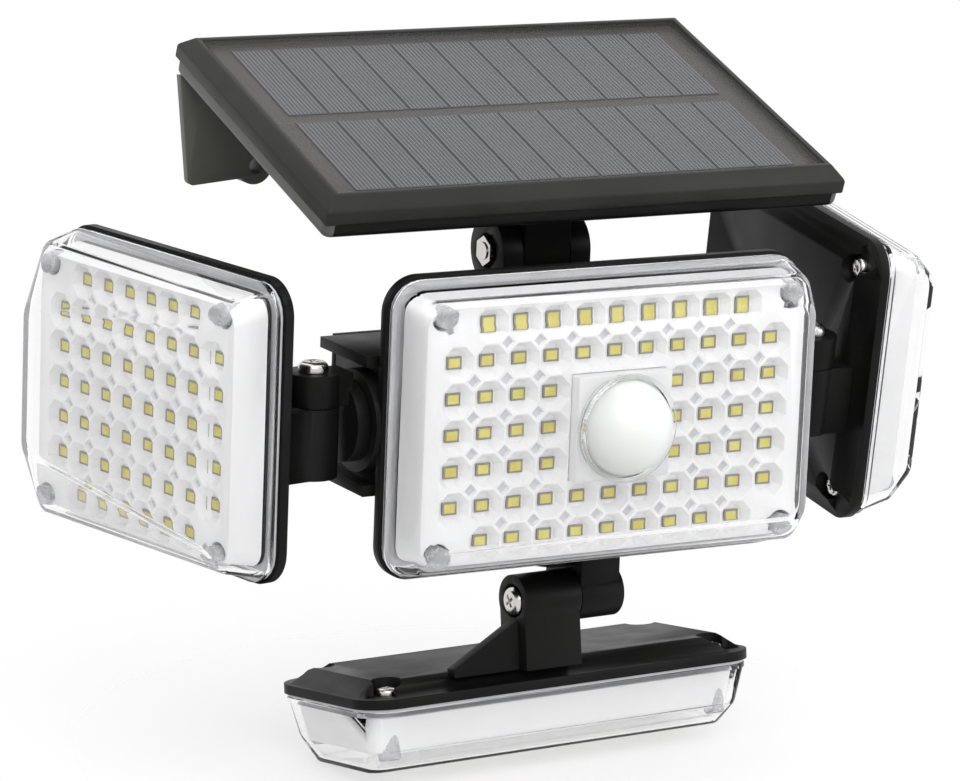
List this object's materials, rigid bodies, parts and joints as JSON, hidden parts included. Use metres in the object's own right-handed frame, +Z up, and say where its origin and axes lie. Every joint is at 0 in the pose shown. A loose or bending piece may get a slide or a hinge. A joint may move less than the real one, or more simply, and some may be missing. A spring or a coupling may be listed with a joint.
{
  "type": "motion sensor security light",
  "caption": "Solar wall light with a motion sensor: a sloped solar panel on a wall bracket carries a sensor lamp and hinged, swivelling lamp heads.",
  "frame": {"origin": "on the wall, midway between the two wall screw holes, at the bracket's back edge", "axes": "+Z up, -Y out from the wall the way the front lamp shines, +X to the right as seen from the front"},
  "size_m": [0.2008, 0.1108, 0.1584],
  "materials": {
    "black_plastic": "satin, fine mould texture",
    "bracket_paint": "satin paint",
    "panel_glass": "clear laminate",
    "solar_cell": "blue grey cell",
    "clear_plastic": "clear polycarbonate",
    "white_plastic": "bright white",
    "white_board": "white solder mask",
    "green_board": "green solder mask",
    "chip_yellow": "phosphor",
    "soft_rubber": "soft",
    "plated_steel": "bright plating",
    "sensor_can": "drawn steel",
    "milky_plastic": "translucent polyethylene",
    "battery_wrap": "shrink wrap"
  },
  "bodies": {
    "panel": {"panel_glass": "panel_glass", "solar_cells": "solar_cell", "panel_frame": "black_plastic", "panel_back_cover": "black_plastic", "wall_bracket": "bracket_paint", "panel_screws": "plated_steel"},
    "housing": {"front_chips": "chip_yellow", "front_chip_board": "white_board", "front_reflector": "white_plastic", "front_lens": "clear_plastic", "front_seal": "soft_rubber", "front_lens_screws": "plated_steel", "main_housing": "black_plastic", "rear_cover": "black_plastic", "rear_cover_screws": "plated_steel", "battery": "battery_wrap", "control_board": "green_board", "hinge_bolt": "plated_steel", "hinge_nut": "plated_steel", "sensor_seat": "white_plastic", "sensor_dome": "milky_plastic", "motion_sensor": "sensor_can"},
    "button": {"mode_button": "soft_rubber"},
    "left_arm": {"left_arm": "black_plastic", "left_arm_washer": "plated_steel", "left_pivot_screw": "plated_steel"},
    "left_head": {"left_chips": "chip_yellow", "left_chip_board": "white_board", "left_reflector": "white_plastic", "left_lens": "clear_plastic", "left_seal": "soft_rubber", "left_lens_screws": "plated_steel", "left_back_cover": "black_plastic", "left_knuckle_screw": "plated_steel", "left_knuckle_nut": "plated_steel"},
    "right_arm": {"right_arm": "black_plastic", "right_arm_washer": "plated_steel", "right_pivot_screw": "plated_steel"},
    "right_head": {"right_chips": "chip_yellow", "right_chip_board": "white_board", "right_reflector": "white_plastic", "right_lens": "clear_plastic", "right_seal": "soft_rubber", "right_lens_screws": "plated_steel", "right_back_cover": "black_plastic", "right_knuckle_screw": "plated_steel", "right_knuckle_nut": "plated_steel"},
    "low_arm": {"low_arm": "black_plastic", "low_arm_washer": "plated_steel", "low_pivot_screw": "plated_steel"},
    "low_head": {"low_chips": "chip_yellow", "low_chip_board": "white_board", "low_reflector": "white_plastic", "low_lens": "clear_plastic", "low_seal": "soft_rubber", "low_lens_screws": "plated_steel", "low_back_cover": "black_plastic", "low_knuckle_screw": "plated_steel", "low_knuckle_nut": "plated_steel"}
  },
  "joints": [
    {"name": "panel_tilt", "type": "hinge", "parent": "panel", "child": "housing", "pos_m": [-0.0023, -0.0606, -0.0117], "axis": [1, 0, 0], "range_deg": [-12, 25]},
    {"name": "button_press", "type": "slide", "parent": "housing", "child": "button", "axis": [0, 0, 1], "range_m": [0, 0.001], "stiffness_N_per_m": 900},
    {"name": "left_swivel", "type": "hinge", "parent": "housing", "child": "left_arm", "pos_m": [0, -0.075, -0.0439], "axis": [1, 0, 0], "range_deg": [-60, 60]},
    {"name": "left_turn", "type": "hinge", "parent": "left_arm", "child": "left_head", "pos_m": [-0.0633, -0.075, -0.0439], "axis": [0, 0, 1], "range_deg": [-10, 60]},
    {"name": "right_swivel", "type": "hinge", "parent": "housing", "child": "right_arm", "pos_m": [0, -0.075, -0.0439], "axis": [1, 0, 0], "range_deg": [-60, 60]},
    {"name": "right_turn", "type": "hinge", "parent": "right_arm", "child": "right_head", "pos_m": [0.0633, -0.075, -0.0439], "axis": [0, -0.1063, 0.9943], "range_deg": [-67, 3]},
    {"name": "low_swivel", "type": "hinge", "parent": "housing", "child": "low_arm", "pos_m": [0, -0.0705, -0.0594], "axis": [0, 0, 1], "range_deg": [-45, 45]},
    {"name": "low_tilt", "type": "hinge", "parent": "low_arm", "child": "low_head", "pos_m": [0.00026, -0.07499, -0.0884], "axis": [0.9983, 0.0576, 0], "range_deg": [-80, 15]}
  ]
}
